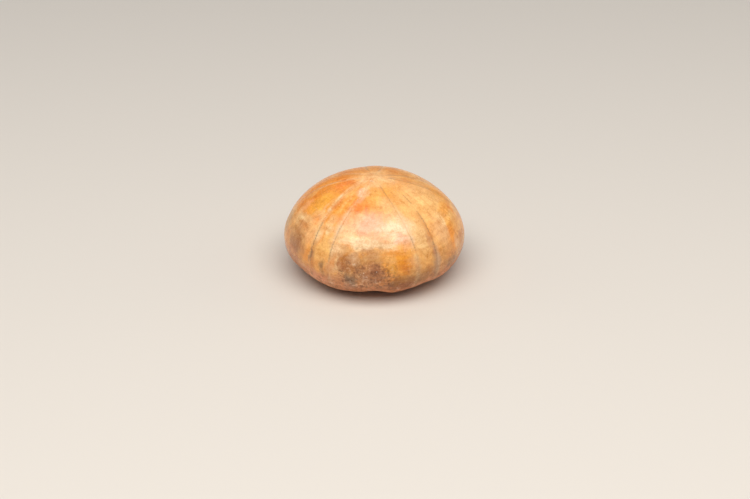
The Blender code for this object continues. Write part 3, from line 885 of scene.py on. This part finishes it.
# thicker, clearer calcite is deeper in colour and thinner is paler: the noises together
# shade every stain, and blue more than red. Near the crown the streaks count for more
# and on the shoulder, 13.5 mm over the floor, the level bands do.
crown_start, crown_full = 15.0, 18.0
shoulder_level, shoulder_end, shoulder_full = 13.5, 2.8, 0.8
shade_noises = {"blotch": 0.80, "streak": 0.30, "level": 0.55, "crumb": 0.75, "dust": 0.75}
shade = -0.5 * sum(shade_noises.values())
for name, weight in shade_noises.items():
    shade = add_node(tree, "ShaderNodeMath", {
        0: noise[name][0], 1: weight, 2: shade,
    }, operation="MULTIPLY_ADD").outputs[0]
along_less_round = add_node(tree, "ShaderNodeMath", {
    0: noise["streak"][0], 1: noise["level"][0],
}, operation="SUBTRACT").outputs[0]
raised = add_node(tree, "ShaderNodeSeparateXYZ", {0: place}).outputs[2]
from_shoulder = add_node(tree, "ShaderNodeMath", {
    0: raised, 1: shoulder_level,
}, operation="SUBTRACT").outputs[0]
from_shoulder = add_node(tree, "ShaderNodeMath", {0: from_shoulder}, operation="ABSOLUTE").outputs[0]
crown = ramp(raised, crown_start, crown_full)
shoulder = ramp(from_shoulder, shoulder_end, shoulder_full)
for zone, weight in ((crown, 0.40), (shoulder, -0.45)):
    zone = add_node(tree, "ShaderNodeMath", {0: zone, 1: weight}, operation="MULTIPLY").outputs[0]
    shade = add_node(tree, "ShaderNodeMath", {
        0: along_less_round, 1: zone, 2: shade,
    }, operation="MULTIPLY_ADD").outputs[0]
tint = add_node(tree, "ShaderNodeVectorMath", {
    0: shade, 1: (0.55, 1.0, 1.5), 2: (1.0, 1.0, 1.0),
}, operation="MULTIPLY_ADD").outputs[0]
color = add_node(tree, "ShaderNodeVectorMath", {0: color, 1: tint}, operation="MULTIPLY").outputs[0]

# grains of clear calcite and pinholes, one to a cell and 0.1 to 0.3 mm across, with more of
# them, and stronger ones, where it is unpolished; their radii are shares of the spacing
grain_spacing, grain_least, grain_spread = 0.7, 0.10, 0.16
cells = add_node(tree, "ShaderNodeTexVoronoi", {"Vector": place, "Scale": 1.0 / grain_spacing}).outputs
kind = add_node(tree, "ShaderNodeSeparateColor", {0: cells["Color"]}).outputs
size = add_node(tree, "ShaderNodeMath", {
    0: kind[1], 1: grain_spread, 2: grain_least,
}, operation="MULTIPLY_ADD").outputs[0]
speck = ramp(cells["Distance"], size, 0.0)
crowd = add_node(tree, "ShaderNodeMapRange", {"Value": dull, "To Min": 0.5}).outputs[0]
speck = add_node(tree, "ShaderNodeMath", {0: speck, 1: crowd}, operation="MULTIPLY").outputs[0]
chance = add_node(tree, "ShaderNodeMath", {
    0: dull, 1: 0.14, 2: kind[0],
}, operation="MULTIPLY_ADD").outputs[0]
grain = add_node(tree, "ShaderNodeMath", {
    0: speck, 1: ramp(chance, 0.70, 0.74),
}, operation="MULTIPLY").outputs[0]
pinhole = add_node(tree, "ShaderNodeMath", {
    0: speck, 1: ramp(kind[0], 0.24, 0.20),
}, operation="MULTIPLY").outputs[0]
color = stain_and_painted_light("#fdeed6", color, 0.80, grain)
color = stain_and_painted_light("#7a4c2c", color, 0.70, pinhole)

# seams show as faint pale joints, pits hold brown dirt, tubercles are rubbed pale
color = stain_and_painted_light("#f8e0b8", color, 0.07, read["seam"])
color = stain_and_painted_light("#5f3f2a", color, 0.50, read["pit"])
color = stain_and_painted_light("#dcb088", color, 0.35, read["tubercle"])

# pore lines: over a wide haze of grey, a thin dark core of filled pores between pale
# calcite on its outer side and brown stain on its inner side. Each wanders a little and is
# broken along its length; the dark core gathers in the pores and the others keep off them.
wander = add_node(tree, "ShaderNodeMath", {
    0: noise["crumb"][0], 1: 0.5,
}, operation="SUBTRACT").outputs[0]
across = add_node(tree, "ShaderNodeMath", {
    0: wander, 1: 0.75, 2: read["line_offset"],
}, operation="MULTIPLY_ADD").outputs[0]
broken = add_node(tree, "ShaderNodeMapRange", {
    "Value": grit, "From Min": -0.08, "From Max": 0.05, "To Min": 0.25,
}).outputs[0]
# name, colour, strength, how far outside the line its middle runs, and half its width
for name, tone, amount, middle, reach in (
    ("line_grey", "#dabb90", 0.60, 0.05, 1.20),
    ("line_pale", "#f8dcac", 0.80, 0.28, 0.72),
    ("line_brown", "#a86e46", 0.80, -0.40, 0.95),
    ("line_dark", "#6f553e", 0.90, 0.0, 0.33),
):
    away = add_node(tree, "ShaderNodeMath", {0: across, 1: middle}, operation="SUBTRACT").outputs[0]
    away = add_node(tree, "ShaderNodeMath", {0: away}, operation="ABSOLUTE").outputs[0]
    band = add_node(tree, "ShaderNodeMath", {
        0: ramp(away, reach, 0.1 * reach), 1: read[name],
    }, operation="MULTIPLY").outputs[0]
    beads = {"To Min": 0.35, "To Max": 1.0} if name == "line_dark" else {"To Min": 1.0, "To Max": 0.4}
    beads = add_node(tree, "ShaderNodeMapRange", {"Value": read["pore"], **beads}).outputs[0]
    for share in (beads, broken):
        band = add_node(tree, "ShaderNodeMath", {0: band, 1: share}, operation="MULTIPLY").outputs[0]
    color = stain_and_painted_light(tone, color, amount, band)
tree.links.new(color, surface.inputs["Base Color"])

# gloss: polished stone gives a soft-edged highlight and unpolished stone hardly one
polished_roughness, dull_roughness = 0.25, 0.52
shine = add_node(tree, "ShaderNodeMapRange", {
    "Value": dull, "To Min": polished_roughness, "To Max": dull_roughness,
}).outputs[0]
shine = add_node(tree, "ShaderNodeMath", {
    0: wander, 1: 0.12, 2: shine,
}, operation="MULTIPLY_ADD").outputs[0]
tree.links.new(shine, surface.inputs["Roughness"])

# a tooth of crumbs, dust and pinholes that breaks up the highlight, finer than the mesh
tooth_depth = 0.06
tooth = add_node(tree, "ShaderNodeMath", {
    0: noise["crumb"][0], 1: 2.0, 2: noise["dust"][0],
}, operation="MULTIPLY_ADD").outputs[0]
tooth = add_node(tree, "ShaderNodeMath", {
    0: pinhole, 1: -1.5, 2: tooth,
}, operation="MULTIPLY_ADD").outputs[0]
deep = add_node(tree, "ShaderNodeMapRange", {"Value": dull, "To Min": 0.15, "To Max": 1.0}).outputs[0]
bump = add_node(tree, "ShaderNodeBump", {
    "Height": tooth, "Strength": deep, "Distance": tooth_depth * MM,
}).outputs[0]
tree.links.new(bump, surface.inputs["Normal"])

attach(test, "root")
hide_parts("urchin_test")
